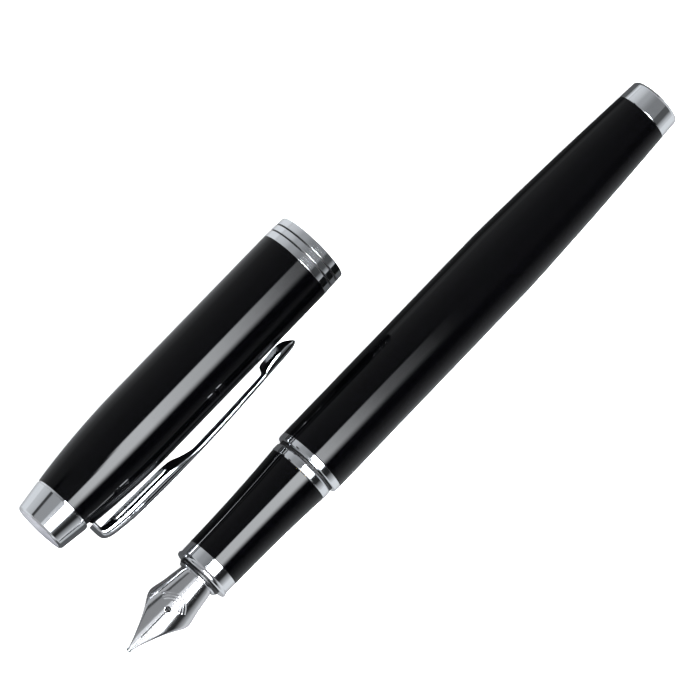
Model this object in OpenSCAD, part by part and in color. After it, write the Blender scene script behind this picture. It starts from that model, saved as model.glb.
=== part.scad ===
// Full-size fountain pen with a threaded grip, a twist converter and a clip cap.
// The pen lies along X with its nib towards -X. The cap lies beside it on the +Y side,
// clip towards the pen. Lengths are in millimetres, and the ground is at Z = 0.

/* [Pen] */
// Length from the point of the nib to the tail, cap off
pen_len = 120; // [119:0.5:128]
// Diameter of the straight stretch of the barrel
barrel_d = 12.04; // [11.9:0.02:12.4]
// Diameter of the tail band where the barrel ends
tail_d = 9.2; // [8.8:0.1:9.8]
// Diameter of the grip just behind its front band
grip_front_d = 9.58; // [9.2:0.02:9.8]
// Diameter of the grip at its rear band
grip_rear_d = 11; // [10.9:0.02:11.1]

/* [Nib] */
// Widest width across the shoulders of the nib
nib_w = 8.2; // [7.4:0.1:8.4]
// Thickness of the nib's sheet steel
nib_t = 0.36; // [0.3:0.02:0.45]
// Number of slots cut between the fins under the feed
feed_fins = 9; // [5:1:10]

/* [Cap] */
// Length of the cap from its end disc to its mouth
cap_len = 61.4; // [61:0.2:64]
// Diameter of the cap at its widest
cap_d = 12.96; // [12.9:0.02:13.4]
// Sideways distance between the axis of the pen and that of the cap beside it
cap_offset = 22.8; // [22.8:0.2:30]
// How far the cap's end disc lies behind the point of the nib
cap_start = 4; // [0:0.5:20]

/* [Clip] */
// Width of the clip at its root
clip_w = 4.2; // [3.6:0.1:4.6]
// Width of the clip's blade
clip_blade_w = 2.9; // [2.4:0.1:3.2]

/* [Converter] */
// Outer diameter of the converter's tube
converter_d = 7.2; // [7:0.02:7.3]
// Working stroke of the piston
piston_stroke = 22; // [16:1:22]

/* [Hidden] */
$fn = 96;

// Colours
lacquer = "#101013";
chrome = "#c9cbd0";
steel = "#d9d9dc";
brass = "#b8923f";
black_plastic = "#18181a";
rubber = "#0c0c0c";
clear = "#9fb0bb80";
pearl = "#dcdce6";

// Fits, as radial or axial clearances
running_fit = 0.06;
face_gap = 0.05;

// Radii
barrel_r = barrel_d / 2;
tail_r = tail_d / 2;
grip_front_r = grip_front_d / 2;
grip_rear_r = grip_rear_d / 2;
cap_r = cap_d / 2;
converter_r = converter_d / 2;

// Where the two axes lie, with the middle of the whole at the origin
stack_w = barrel_r + cap_offset + cap_r;
pen_y = barrel_r - stack_w / 2;
cap_y = pen_y + cap_offset;
pen_x = -pen_len / 2;

// Stations along the pen, from the point of the nib
collar_x = 15.5;
lip_x = 16.35;
band_x = 17.1;
shell_x = 19.2;
shell_end_x = 38.1;
washer_x = 39.6;
barrel_x = 40.1;
tube_x = 41.4;
bush_end_x = 48.8;
taper_x = 84.5;
tail_x = pen_len - 3.8;
plug_x = pen_len - 7.5;

// Grip
core_r = 3.84;
collar_root_r = 4.1;
thread_r = 4.36;
nib_bore_r = 3.14;
nib_stem_r = 3.1;
nib_stem_x = 27;
nipple_r = 1.75;
nipple_x = 33.2;
nipple_end_x = 38.6;
ink_channel_r = 0.6;
counterbore_x = 30;

// Barrel
barrel_wall = 0.9;
tube_bore_r = barrel_r - barrel_wall;
plug_r = 3.6;
taper_steps = 12;

// Nib: a cone that tips down towards the point, so that the nib falls and flattens
nib_cone_x = 16.6;
nib_cone_tilt = 21;
nib_cone_len = 18;
nib_cone_r = 3.3;
nib_cone_flare = 0.2;
nib_half = nib_w / 2;
nib_end_x = 26;
nib_low_z = -1.45;
slit_w = 0.12;
breather_x = 8.9;
breather_r = 0.5;
tip_r = 0.42;

// Feed
feed_x = 3.2;
feed_fin_x = 6.4;
feed_fin_pitch = 0.9;
feed_slot_w = 0.42;
feed_fall = 3;

// Converter
chamber_r = 3;
chamber_x = 40;
chamber_end_x = 72;
converter_band_x = 68;
converter_band_end_x = 82;
nut_end_x = 75;
rod_r = 1.02;
knob_r = 3.25;
knob_end_x = 101.5;
knob_bore_r = 1.4;
seal_len = 3.7;
piston_x = chamber_x + 3.5 + piston_stroke;

// Cap, from its end disc
cap_wall = 0.45;
finial_len = 5.65;
disc_seat_d = 0.95;
disc_r = 4.06;
cap_neck_r = 5.28;
crown_d = 24;
crown_steps = 12;
band_d = cap_len - 4.1;
sleeve_d = 6.4;
sleeve_floor = 0.8;
sleeve_step_d = cap_len - 24.1;
sleeve_nose_r = 4.35;
sleeve_mouth_r = grip_rear_r + running_fit;
stud_r = 1.5;
band_pitch = 1.25;
groove_w = 0.35;
groove_depth = 0.14;

// Clip
clip_hinge_d = 6.3;
clip_hinge_r = 5.95;
clip_pivot_r = 0.45;

// Barrel radius along the taper, t running from 0 at its start to 1 at the tail band
function taper_r(t) = barrel_r - (barrel_r - tail_r) * (0.64 * t + 0.36 * t * t);

// Grip radius at station x, a shallow hollow curve that opens towards the barrel
function grip_r(x) = grip_front_r
    + (grip_rear_r - 0.06 - grip_front_r) * pow((x - shell_x) / (shell_end_x - shell_x), 2);

// Cap radius at distance d from the end disc: swelling up to the crown, then straight
function cap_out_r(d) = d >= crown_d ? cap_r
    : cap_r - (cap_r - cap_neck_r) * pow((crown_d - d) / (crown_d - finial_len), 2);

// Radius of the cap's mouth band, which draws in a little towards the mouth
function band_r(d) = cap_r - 0.14 * (d - band_d) / (cap_len - band_d);

// Turns an outline of [station, radius] points about the X axis
module turned(outline) {
    rotate([0, 90, 0])
        rotate_extrude()
            polygon([for (p = outline) [p[1], p[0]]]);
}

// Plain ring or rod between two stations
module ring(x0, x1, r_out, r_in = 0) {
    turned([[x0, r_in], [x1, r_in], [x1, r_out], [x0, r_out]]);
}

// Places a piece drawn on the pen's own axis, or on the cap's
module on_pen() {
    translate([pen_x, pen_y, barrel_r])
        children();
}

module on_cap() {
    translate([pen_x + cap_start, cap_y, cap_r])
        children();
}

/* Barrel */

module barrel_tube() {
    outer = [for (i = [0 : taper_steps])
        let (t = i / taper_steps)
        [taper_x + t * (tail_x - taper_x), taper_r(t)]];
    inner = [for (i = [taper_steps - 1 : -1 : 0])
        let (t = i / taper_steps)
        [taper_x + t * (tail_x - taper_x), taper_r(t) - barrel_wall]];
    color(lacquer)
        on_pen()
            turned(concat(
                [[tube_x, tube_bore_r], [tube_x, barrel_r]],
                outer,
                [[tail_x, plug_r + 0.02], [plug_x, plug_r + 0.02]],
                inner));
}

module barrel_front_ring() {
    edge = 0.35;
    color(chrome)
        on_pen()
            turned([
                [barrel_x, thread_r + running_fit],
                [barrel_x, barrel_r - edge],
                [barrel_x + 0.1, barrel_r - 0.12],
                [barrel_x + edge, barrel_r],
                [tube_x, barrel_r],
                [tube_x, thread_r + running_fit]]);
}

module barrel_thread_bush() {
    color(brass)
        on_pen()
            ring(tube_x, bush_end_x, tube_bore_r, thread_r + running_fit);
}

module barrel_tail_band() {
    band_end_x = pen_len - 0.2;
    color(chrome)
        on_pen()
            turned([
                [tail_x, plug_r],
                [tail_x, tail_r],
                [band_end_x - 0.4, tail_r - 0.18],
                [band_end_x - 0.1, tail_r - 0.3],
                [band_end_x, tail_r - 0.5],
                [band_end_x, plug_r]]);
}

module barrel_tail_plug() {
    color(chrome)
        on_pen()
            turned([
                [plug_x, 0],
                [plug_x, plug_r],
                [pen_len - 0.12, plug_r],
                [pen_len, plug_r - 0.15],
                [pen_len, 0]]);
}

/* Grip */

module thread_washer() {
    color(rubber)
        on_pen()
            ring(washer_x, barrel_x - face_gap, grip_rear_r - 0.15, thread_r + running_fit);
}

module section_rear_band() {
    color(chrome)
        on_pen()
            turned([
                [shell_end_x + face_gap, thread_r + running_fit],
                [shell_end_x + face_gap, grip_rear_r - 0.06],
                [shell_end_x + 0.3, grip_rear_r],
                [washer_x - 0.15, grip_rear_r],
                [washer_x - face_gap, grip_rear_r - 0.1],
                [washer_x - face_gap, thread_r + running_fit]]);
}

module section_shell() {
    steps = 8;
    color(lacquer)
        on_pen()
            turned(concat(
                [[shell_x, core_r]],
                [for (i = [0 : steps])
                    let (x = shell_x + i / steps * (shell_end_x - shell_x))
                    [x, grip_r(x)]],
                [[shell_end_x, collar_root_r],
                [counterbore_x, collar_root_r],
                [counterbore_x, core_r]]));
}

module section_front_band() {
    lip_r = 4.95;
    neck_r = 4.74;
    color(chrome)
        on_pen()
            turned([
                [lip_x, core_r],
                [lip_x, lip_r - 0.25],
                [lip_x + 0.12, lip_r - 0.06],
                [lip_x + 0.3, lip_r],
                [lip_x + 0.55, lip_r - 0.05],
                [band_x, neck_r],
                [shell_x, neck_r],
                [shell_x, core_r]]);
}

module section_core() {
    color(black_plastic)
        on_pen()
            turned([
                [lip_x, nib_bore_r],
                [lip_x, core_r],
                [nipple_x, core_r],
                [nipple_x, nipple_r],
                [nipple_end_x - 0.3, nipple_r],
                [nipple_end_x, nipple_r - 0.3],
                [nipple_end_x, ink_channel_r],
                [nib_stem_x, ink_channel_r],
                [nib_stem_x, nib_bore_r]]);
}

module section_thread_collar() {
    color(brass)
        on_pen()
            turned([
                [counterbore_x + face_gap, core_r],
                [counterbore_x + face_gap, collar_root_r],
                [shell_end_x, collar_root_r],
                [shell_end_x, thread_r],
                [bush_end_x - 0.9, thread_r],
                [bush_end_x - 0.5, thread_r - 0.3],
                [bush_end_x - 0.5, core_r]]);
}

module nib_collar() {
    color(black_plastic)
        on_pen()
            ring(collar_x + 0.35, lip_x, 3.82, nib_bore_r);
}

module nib_collar_trim() {
    color(chrome)
        on_pen()
            ring(collar_x, collar_x + 0.35, 3.62, nib_bore_r);
}

/* Nib unit */

// Half of the nib's plan, as [station, half width] points from the tip to the stem
nib_half_plan = [
    [0.7, 0.42], [2, 0.78], [4, 1.54], [6, 2.42], [7.2, 3.05], [8.2, 3.62],
    [8.9, nib_half - 0.14], [9.7, nib_half], [10.6, nib_half - 0.15],
    [12, 3.62], [14, 3.3], [collar_x, 3.08], [nib_end_x, 3.08]
];

// Solid cone that the nib's sheet lies on, taken in by inset
module nib_cone(inset) {
    translate([nib_cone_x, 0, 0])
        rotate([0, -90 - nib_cone_tilt, 0])
            cylinder(
                h = nib_cone_len,
                r1 = nib_cone_r - inset,
                r2 = nib_cone_r + nib_cone_flare * nib_cone_len - inset);
}

module nib() {
    plan = concat(nib_half_plan, [for (i = [len(nib_half_plan) - 1 : -1 : 0])
        [nib_half_plan[i][0], -nib_half_plan[i][1]]]);
    color(steel)
        on_pen()
            difference() {
                intersection() {
                    translate([0, 0, nib_low_z])
                        linear_extrude(7)
                            polygon(plan);
                    union() {
                        difference() {
                            intersection() {
                                nib_cone(0);
                                translate([-1, -5, -5])
                                    cube([1 + collar_x - 0.05, 10, 10]);
                            }
                            nib_cone(nib_t);
                        }
                        difference() {
                            ring(collar_x - 0.3, nib_end_x, nib_stem_r, nib_stem_r - nib_t);
                            translate([0, -5, -5])
                                cube([30, 10, 6]);
                        }
                    }
                }
                translate([-1, -slit_w / 2, -1])
                    cube([1 + breather_x, slit_w, 6]);
                translate([breather_x, 0, -1])
                    cylinder(h = 6, r = breather_r);
                translate([tip_r, 0, tip_r])
                    sphere(tip_r + 0.01);
            }
}

module nib_tip() {
    color(steel)
        on_pen()
            difference() {
                translate([tip_r, 0, tip_r])
                    sphere(tip_r);
                translate([-1, -slit_w / 2, -1])
                    cube([3, slit_w, 3]);
            }
}

module feed() {
    seat = 0.05;
    color(black_plastic)
        on_pen() {
            difference() {
                ring(collar_x - 0.3, nib_stem_x - 0.1, nib_stem_r - 0.04);
                difference() {
                    ring(0, 30, nib_stem_r + 1, nib_stem_r - nib_t - seat);
                    translate([0, -5, -5])
                        cube([30, 10, 6 - seat]);
                }
            }
            difference() {
                intersection() {
                    nib_cone(nib_t + 0.08);
                    translate([collar_x + 0.5, 0, 0])
                        rotate([0, -90 - feed_fall, 0])
                            cylinder(h = collar_x + 0.5 - feed_x, r1 = nib_stem_r - 0.1, r2 = 0.75);
                    translate([0, -5, -5])
                        cube([collar_x - 0.2, 10, 10]);
                }
                for (i = [0 : feed_fins - 1])
                    translate([feed_fin_x + i * feed_fin_pitch, -5, -5])
                        cube([feed_slot_w, 10, 4.3 - 0.03 * i]);
            }
        }
}

/* Converter */

module converter_tube() {
    color(clear)
        on_pen()
            turned([
                [nipple_x + 0.1, nipple_r + 0.05],
                [nipple_x + 0.1, converter_r - 0.2],
                [nipple_x + 0.3, converter_r],
                [chamber_end_x, converter_r],
                [chamber_end_x, chamber_r],
                [chamber_x, chamber_r],
                [chamber_x - 0.8, nipple_r + 0.05]]);
}

module converter_band() {
    color(chrome)
        on_pen()
            turned([
                [converter_band_x, converter_r],
                [converter_band_x, converter_r + 0.18],
                [converter_band_end_x, converter_r + 0.18],
                [converter_band_end_x, knob_r + 0.05],
                [chamber_end_x, knob_r + 0.05],
                [chamber_end_x, converter_r]]);
}

module converter_nut() {
    color(black_plastic)
        on_pen()
            ring(chamber_end_x, nut_end_x, knob_r + 0.05, rod_r + running_fit);
}

module converter_knob() {
    color(black_plastic)
        on_pen()
            turned([
                [nut_end_x + 0.6, knob_bore_r],
                [nut_end_x + 0.6, knob_r - 0.03],
                [converter_band_end_x + 0.15, knob_r - 0.03],
                [converter_band_end_x + 0.15, knob_r],
                [knob_end_x - 0.6, knob_r],
                [knob_end_x, knob_r - 0.6],
                [knob_end_x, 0],
                [knob_end_x - 2, 0],
                [knob_end_x - 2, knob_bore_r]]);
}

module piston_rod() {
    color(steel)
        on_pen()
            ring(piston_x + seal_len, knob_end_x - 3.5, rod_r);
}

module piston_seal() {
    seal_r = chamber_r - 0.04;
    color(rubber)
        on_pen()
            turned([
                [piston_x, 0],
                [piston_x, seal_r - 0.5],
                [piston_x + 0.3, seal_r],
                [piston_x + 1, seal_r],
                [piston_x + 1.4, seal_r - 0.5],
                [piston_x + 2.3, seal_r - 0.5],
                [piston_x + seal_len - 1, seal_r],
                [piston_x + seal_len, seal_r],
                [piston_x + seal_len, 0]]);
}

/* Cap */

module cap_tube() {
    outer = [for (i = [0 : crown_steps])
        let (d = finial_len + i / crown_steps * (crown_d - finial_len))
        [d, cap_out_r(d)]];
    inner = [for (i = [crown_steps : -1 : 0])
        let (d = finial_len + i / crown_steps * (crown_d - finial_len))
        [d, cap_out_r(d) - cap_wall]];
    color(lacquer)
        on_cap()
            difference() {
                turned(concat(outer, [[band_d, cap_r], [band_d, cap_r - cap_wall]], inner));
                translate([finial_len - 1, -cap_r, -clip_w / 2])
                    cube([2, cap_r - 3, clip_w]);
            }
}

module cap_inner_sleeve() {
    shoulder_d = sleeve_step_d - 1.2;
    color(black_plastic)
        on_cap()
            turned([
                [sleeve_d, stud_r],
                [sleeve_d, sleeve_nose_r + 0.4],
                [sleeve_d + 1, sleeve_nose_r + 0.5],
                [shoulder_d - 1, sleeve_nose_r + 0.5],
                [shoulder_d, cap_r - cap_wall],
                [band_d, cap_r - cap_wall],
                [band_d, sleeve_mouth_r],
                [sleeve_step_d, sleeve_mouth_r],
                [sleeve_step_d, sleeve_nose_r],
                [sleeve_d + 3, sleeve_nose_r],
                [sleeve_d + sleeve_floor, sleeve_nose_r - 1],
                [sleeve_d + sleeve_floor, stud_r]]);
}

module cap_band() {
    color(chrome)
        on_cap()
            difference() {
                turned([
                    [band_d, sleeve_mouth_r + 0.04],
                    [band_d, cap_r],
                    [cap_len - 0.3, band_r(cap_len)],
                    [cap_len - 0.08, band_r(cap_len) - 0.1],
                    [cap_len, band_r(cap_len) - 0.3],
                    [cap_len, sleeve_mouth_r + 0.04]]);
                for (i = [1, 2])
                    ring(band_d + i * band_pitch, band_d + i * band_pitch + groove_w,
                        cap_r + 1, band_r(band_d + i * band_pitch) - groove_depth);
            }
}

module cap_band_inlays() {
    color(black_plastic)
        on_cap()
            for (i = [1, 2])
                let (d = band_d + i * band_pitch)
                ring(d, d + groove_w, band_r(d) - 0.07, band_r(d) - groove_depth);
}

module cap_finial() {
    color(chrome)
        on_cap()
            turned([
                [disc_seat_d, stud_r],
                [disc_seat_d, disc_r],
                [0.3, disc_r],
                [0.3, 4.32],
                [0.38, 4.46],
                [0.6, 4.58],
                [finial_len - 0.35, 5.24],
                [finial_len - 0.35, 5.12],
                [finial_len, 5.12],
                [finial_len, stud_r]]);
}

module cap_finial_disc() {
    color(pearl)
        on_cap()
            turned([
                [disc_seat_d, 0],
                [disc_seat_d, disc_r],
                [0.34, disc_r],
                [0.2, 3.6],
                [0.08, 2.4],
                [0.02, 1.2],
                [0, 0]]);
}

module cap_stud() {
    head_d = sleeve_d + sleeve_floor;
    color(steel)
        on_cap()
            turned([
                [disc_seat_d, 0],
                [disc_seat_d, stud_r],
                [head_d, stud_r],
                [head_d, 2.3],
                [head_d + 0.5, 2.3],
                [head_d + 0.8, 2],
                [head_d + 0.8, 0]]);
}

module clip_ring() {
    color(chrome)
        on_cap()
            difference() {
                union() {
                    ring(finial_len, sleeve_d, 4.6, stud_r);
                    translate([finial_len, -clip_hinge_r + clip_pivot_r + 0.08, -clip_w / 2 + 0.3])
                        cube([sleeve_d - finial_len, 3.5, clip_w - 0.6]);
                }
                ring(0, 10, stud_r);
            }
}

/* Clip */

// Side view of the clip, as [distance from the end disc, distance from the cap's axis]
clip_side = [
    [5.75, 5.95], [5.75, 7.6], [5.95, 8], [6.4, 8.4], [7.1, 8.7], [8.3, 8.98], [10.2, 9.22],
    [12.5, 9.42], [16, 9.53], [23, 9.61], [28, 9.6], [33, 9.46], [40, 9.13], [46.5, 8.84],
    [48.2, 8.68], [48.9, 8.3], [48.7, 7.9],
    [48, 7.35], [47.2, 6.85], [46, 6.56], [44.4, 6.72], [42.2, 6.88], [41.6, 8.02],
    [37, 8.15], [32, 8.28], [25.6, 8.35], [23.6, 7.85], [21.6, 7.08], [19.6, 6.88],
    [14, 6.76], [8.6, 6.62], [7.5, 6.7], [6.95, 7], [6.85, 7.4], [6.85, 5.95]
];

// Half of the clip seen from outside, as [distance from the end disc, half width]
clip_half_plan = [
    [5, clip_w / 2], [19, clip_w / 2 - 0.1], [24.5, clip_blade_w / 2], [40.8, clip_blade_w / 2 - 0.15],
    [42.4, clip_blade_w / 2 + 0.25], [46.6, clip_blade_w / 2 + 0.25], [48, clip_blade_w / 2 - 0.3],
    [48.8, 0.5], [48.95, 0]
];

module clip() {
    half = clip_half_plan;
    plan = concat(half, [for (i = [len(half) - 2 : -1 : 0]) [half[i][0], -half[i][1]]]);
    wall = 0.7;
    color(chrome)
        on_cap()
            union() {
                difference() {
                    intersection() {
                        linear_extrude(clip_w, center = true)
                            polygon([for (p = clip_side) [p[0], -p[1]]]);
                        rotate([90, 0, 0])
                            linear_extrude(12)
                                polygon(plan);
                    }
                    translate([7.6, -8.4, -clip_w / 2 + wall])
                        cube([14.4, 3, clip_w - 2 * wall]);
                }
                translate([clip_hinge_d, -clip_hinge_r, 0])
                    cylinder(h = clip_w - 0.6, r = clip_pivot_r, center = true);
            }
}

barrel_tube();
barrel_front_ring();
barrel_thread_bush();
barrel_tail_band();
barrel_tail_plug();
thread_washer();
section_rear_band();
section_shell();
section_front_band();
section_core();
section_thread_collar();
nib_collar();
nib_collar_trim();
nib();
nib_tip();
feed();
converter_tube();
converter_band();
converter_nut();
converter_knob();
piston_rod();
piston_seal();
cap_tube();
cap_inner_sleeve();
cap_band();
cap_band_inlays();
cap_finial();
cap_finial_disc();
cap_stud();
clip_ring();
clip();
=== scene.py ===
"""Fountain pen with its cap beside it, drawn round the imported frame.

Lengths are in millimetres until a mesh is made, and in metres from then on. The pen and the cap
each lie along X on an axis of their own, so nearly every piece is turned: an outline of (x, radius)
corners is given true roundings and revolved about that axis.
"""

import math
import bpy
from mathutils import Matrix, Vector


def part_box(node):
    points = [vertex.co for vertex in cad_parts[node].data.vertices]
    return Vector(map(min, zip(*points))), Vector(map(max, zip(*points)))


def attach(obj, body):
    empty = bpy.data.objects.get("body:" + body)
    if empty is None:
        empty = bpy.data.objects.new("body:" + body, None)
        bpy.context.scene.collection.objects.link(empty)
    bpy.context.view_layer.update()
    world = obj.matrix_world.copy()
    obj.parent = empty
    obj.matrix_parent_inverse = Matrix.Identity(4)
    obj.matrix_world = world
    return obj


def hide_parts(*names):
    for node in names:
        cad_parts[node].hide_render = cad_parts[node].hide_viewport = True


bl_info = {
    "name": "Fountain Pen Pieces",
    "version": (1, 0, 0),
    "blender": (4, 5, 0),
    "location": "View3D > Sidebar > Fountain Pen",
    "description": "Builds a lacquered fountain pen, its cap and its converter round their frame",
    "category": "Object",
}

import bmesh
import bpy
from mathutils import Matrix, Vector

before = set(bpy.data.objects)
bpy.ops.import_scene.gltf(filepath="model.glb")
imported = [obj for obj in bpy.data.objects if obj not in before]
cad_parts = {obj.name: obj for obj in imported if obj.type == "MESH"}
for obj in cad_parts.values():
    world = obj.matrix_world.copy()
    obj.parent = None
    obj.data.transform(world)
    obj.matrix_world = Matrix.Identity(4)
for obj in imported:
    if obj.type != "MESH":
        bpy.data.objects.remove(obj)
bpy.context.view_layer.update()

MM = 0.001
AROUND = 144  # facets round a turned piece
EDGE = 0.03  # rounding of a turned edge that nothing else is said about
CURVE = None  # marks a corner that is a point along a curve, and so stays smooth
FIT = 0.06  # clearance round a piece that slides or screws in another


def span(node):
    """First and last station and outer radius of a turned CAD node, in millimetres."""
    low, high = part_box(node)
    return low.x / MM, high.x / MM, (high.z - low.z) / 2 / MM


def axis_of(node):
    """Where the axis of a turned CAD node lies, as (y, z) in millimetres."""
    low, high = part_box(node)
    return (low.y + high.y) / 2 / MM, (low.z + high.z) / 2 / MM


PEN_AXIS = axis_of("barrel_tube")
CAP_AXIS = axis_of("cap_band")
NIB_POINT_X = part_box("nib_tip")[0].x / MM
CAP_END_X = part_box("cap_finial_disc")[0].x / MM


# Colours and materials


def linear(code):
    """Linear RGBA of an sRGB hex code."""
    channels = [int(code[i : i + 2], 16) / 255 for i in (1, 3, 5)]
    return tuple(c / 12.92 if c <= 0.04045 else ((c + 0.055) / 1.055) ** 2.4 for c in channels) + (1,)


def add_node(tree, kind, inputs=None, **settings):
    """Adds a node to a tree. inputs gives each socket a value or the output that feeds it."""
    made = tree.nodes.new(kind)
    for key, value in settings.items():
        setattr(made, key, value)
    for key, value in (inputs or {}).items():
        if isinstance(value, bpy.types.NodeSocket):
            tree.links.new(value, made.inputs[key])
        else:
            made.inputs[key].default_value = value
    return made


def new_finish(name, **sockets):
    """A material with one Principled shader, its constants set on the shader's own sockets."""
    material = bpy.data.materials.new(name)
    material.use_nodes = True
    tree = material.node_tree
    tree.nodes.clear()
    shader = add_node(tree, "ShaderNodeBsdfPrincipled")
    for key, value in sockets.items():
        shader.inputs[key.replace("_", " ").title().replace("Ior", "IOR")].default_value = value
    add_node(tree, "ShaderNodeOutputMaterial", {"Surface": shader.outputs[0]})
    return material, tree, shader


def grain(tree, size, stretch=(1, 1, 1), detail=3.0, turn=(0, 0, 0)):
    """Noise on Object coordinates with a grain of the given size in millimetres."""
    place = add_node(tree, "ShaderNodeTexCoord").outputs["Object"]
    mapped = add_node(tree, "ShaderNodeMapping", {"Vector": place, "Scale": stretch, "Rotation": turn})
    return add_node(
        tree,
        "ShaderNodeTexNoise",
        {"Vector": mapped.outputs[0], "Scale": 1 / (size * MM), "Detail": detail, "Roughness": 0.55},
    ).outputs["Fac"]


def ranged(tree, value, low, high, start=0.3, end=0.7):
    """Maps a pattern's middle range to low and high."""
    return add_node(
        tree,
        "ShaderNodeMapRange",
        {"Value": value, "From Min": start, "From Max": end, "To Min": low, "To Max": high},
    ).outputs[0]


def relief(tree, shader, pattern, height):
    """Feeds a bump of the given height in millimetres to the shader."""
    bump = add_node(tree, "ShaderNodeBump", {"Height": pattern, "Distance": height * MM, "Strength": 1.0})
    tree.links.new(bump.outputs[0], shader.inputs["Normal"])


def black_lacquer(colour):
    """Black nitro lacquer on brass tube, sprayed in coats and buffed.

    The pigment swallows all light, so the eye sees only the mirror image of the room, drawn out
    along the tube and bent a little by the last trace of orange peel.
    """
    material, tree, shader = new_finish("buffed_black_lacquer", base_color=colour, ior=1.25)
    haze = ranged(tree, grain(tree, 6.0), 0.045, 0.075)
    tree.links.new(haze, shader.inputs["Roughness"])
    relief(tree, shader, grain(tree, 1.6, detail=1.0), 0.0007)
    return material


def chrome_plate(colour):
    """Bright chrome over nickel, plated on turned and polished brass.

    It mirrors the room in crisp bands. Wiping leaves hairlines round the ring, drawn about
    0.08 mm apart, which is coarser than the real ones, so that they show at all.
    """
    material, tree, shader = new_finish("bright_chrome_plate", base_color=colour, metallic=1.0)
    hairlines = grain(tree, 0.08, stretch=(1, 0.12, 0.12), detail=2.0)
    tree.links.new(ranged(tree, hairlines, 0.05, 0.1), shader.inputs["Roughness"])
    relief(tree, shader, grain(tree, 1.2, detail=1.0), 0.0005)
    return material


def satin_chrome(colour):
    """Chrome over a face that was turned and left satin, so that it glows and doesn't mirror."""
    material, tree, shader = new_finish("satin_chrome_plate", base_color=colour, metallic=1.0)
    marks = grain(tree, 0.1, stretch=(1, 0.2, 0.2))
    tree.links.new(ranged(tree, marks, 0.2, 0.34), shader.inputs["Roughness"])
    relief(tree, shader, marks, 0.0008)
    return material


def nib_steel(colour):
    """Stainless sheet, stamped, bent and mopped along its length.

    It is a shade greyer than chrome, and the mop leaves faint strokes from collar to point.
    """
    material, tree, shader = new_finish("mopped_stainless_steel", base_color=colour, metallic=1.0)
    strokes = grain(tree, 0.12, stretch=(0.1, 1, 1), detail=4.0)
    tree.links.new(ranged(tree, strokes, 0.07, 0.16), shader.inputs["Roughness"])
    relief(tree, shader, strokes, 0.0006)
    return material


def point_alloy(colour):
    """Hard sintered alloy, ground and polished to a ball: darker than steel."""
    material, tree, shader = new_finish("ground_hard_alloy", base_color=colour, metallic=1.0)
    tree.links.new(ranged(tree, grain(tree, 0.08), 0.05, 0.1), shader.inputs["Roughness"])
    return material


def turned_brass(colour):
    """Free-cutting brass from the lathe: yellow, with turning rings 0.1 mm apart."""
    material, tree, shader = new_finish("turned_brass", base_color=colour, metallic=1.0)
    rings = grain(tree, 0.1, stretch=(1, 0.05, 0.05), detail=1.0)
    tree.links.new(ranged(tree, rings, 0.18, 0.34), shader.inputs["Roughness"])
    relief(tree, shader, rings, 0.002)
    return material


def black_plastic(colour):
    """Black ABS, injection moulded in a spark-eroded tool: low gloss with a 0.15 mm grain."""
    material, tree, shader = new_finish("moulded_black_abs", base_color=colour, ior=1.53)
    texture = grain(tree, 0.15)
    tree.links.new(ranged(tree, texture, 0.3, 0.48), shader.inputs["Roughness"])
    relief(tree, shader, texture, 0.003)
    return material


def clear_plastic(colour):
    """Clear polystyrene tube, moulded: sharp surface gloss over a faintly blue see-through wall."""
    material, tree, shader = new_finish(
        "moulded_clear_polystyrene", base_color=colour, ior=1.59, transmission_weight=0.92
    )
    tree.links.new(ranged(tree, grain(tree, 3.0), 0.03, 0.09), shader.inputs["Roughness"])
    return material


def seal_rubber(colour):
    """Moulded nitrile rubber: matt black with a soft sheen and a fine bloom."""
    material, tree, shader = new_finish("moulded_nitrile_rubber", base_color=colour, ior=1.52)
    bloom = grain(tree, 0.3)
    tree.links.new(ranged(tree, bloom, 0.5, 0.7), shader.inputs["Roughness"])
    relief(tree, shader, bloom, 0.002)
    return material


def bright_steel(colour):
    """Cold-headed bright steel, zinc flashed: grey metal with a little blur."""
    material, tree, shader = new_finish("zinc_flashed_steel", base_color=colour, metallic=1.0)
    tree.links.new(ranged(tree, grain(tree, 0.25), 0.22, 0.36), shader.inputs["Roughness"])
    return material


def pearl_enamel(colour):
    """Stoved pearl enamel in the shallow end dish: pale, with a soft milky gloss."""
    material, tree, shader = new_finish("stoved_pearl_enamel", base_color=colour, ior=1.5, coat_weight=0.6)
    tree.links.new(ranged(tree, grain(tree, 0.8), 0.3, 0.42), shader.inputs["Roughness"])
    return material


# Turned pieces


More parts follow.
